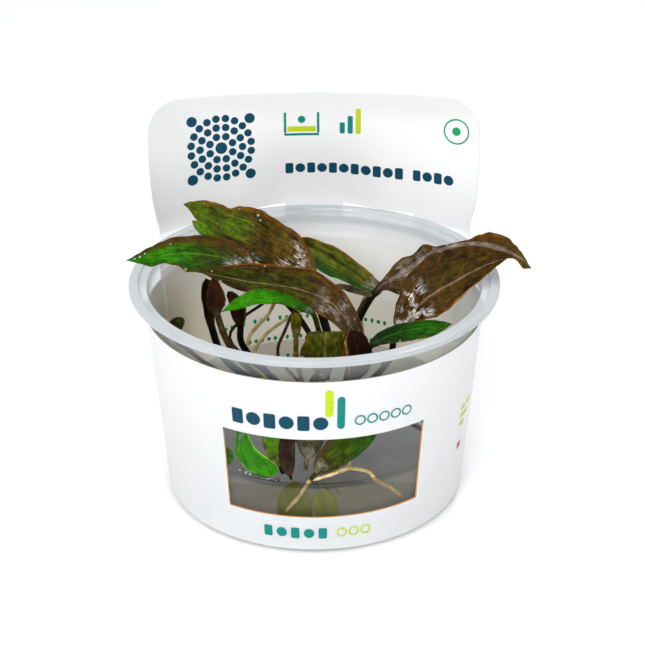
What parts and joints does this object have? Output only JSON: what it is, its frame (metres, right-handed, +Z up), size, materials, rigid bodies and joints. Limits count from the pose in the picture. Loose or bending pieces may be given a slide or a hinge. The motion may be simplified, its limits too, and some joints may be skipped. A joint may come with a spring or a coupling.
{
  "type": "potted rose maiden cryptocoryne nurii",
  "caption": "Clump of broad-leaved water plants in a clear round growing cup with gel, wrapped in a white card sleeve with a window and a raised header panel.",
  "frame": {"origin": "middle of the cup's flat foot, on the surface it stands on", "axes": "+Z up; the sleeve's window faces -Y, the header panel stands at +Y, and +X is to the right seen from the front"},
  "size_m": [0.1102, 0.1019, 0.0972],
  "materials": {
    "clear_plastic": "clear, slightly milky moulded plastic, glossy",
    "card": "smooth white coated card with teal and lime print",
    "gel": "clear grey water gel, wet surface",
    "brown_leaf": "wet glossy leaf, brown with olive veins",
    "green_leaf": "wet glossy leaf, bright green",
    "olive_leaf": "wet leaf, olive with brown edges",
    "dark_leaf": "wet leaf, dark red-brown",
    "crown": "matt rootstock",
    "root": "smooth tan root"
  },
  "bodies": {
    "root": {"cup": "clear_plastic", "sleeve": "card", "gel": "gel", "leaf_top_left": "brown_leaf", "leaf_left": "green_leaf", "leaf_center": "brown_leaf", "leaf_small_green": "green_leaf", "leaf_back": "olive_leaf", "leaf_right_back": "brown_leaf", "leaf_right_front": "brown_leaf", "leaf_right_low": "green_leaf", "leaf_front_folded": "olive_leaf", "leaf_front_red": "dark_leaf", "leaf_left_dark": "dark_leaf", "leaf_left_red": "dark_leaf", "leaf_left_narrow": "dark_leaf", "leaf_left_tip": "dark_leaf", "leaf_behind_green": "green_leaf", "leaf_back_dark": "dark_leaf", "leaf_young": "olive_leaf", "leaf_window_green": "green_leaf", "leaf_window_brown": "olive_leaf", "leaf_window_pale": "olive_leaf", "leaf_window_speckled": "green_leaf", "leaf_window_left": "green_leaf", "crown_1": "crown", "crown_2": "crown", "crown_3": "crown", "crown_4": "crown", "root_1": "root", "root_2": "root", "root_3": "root", "root_4": "root"}
  },
  "joints": []
}
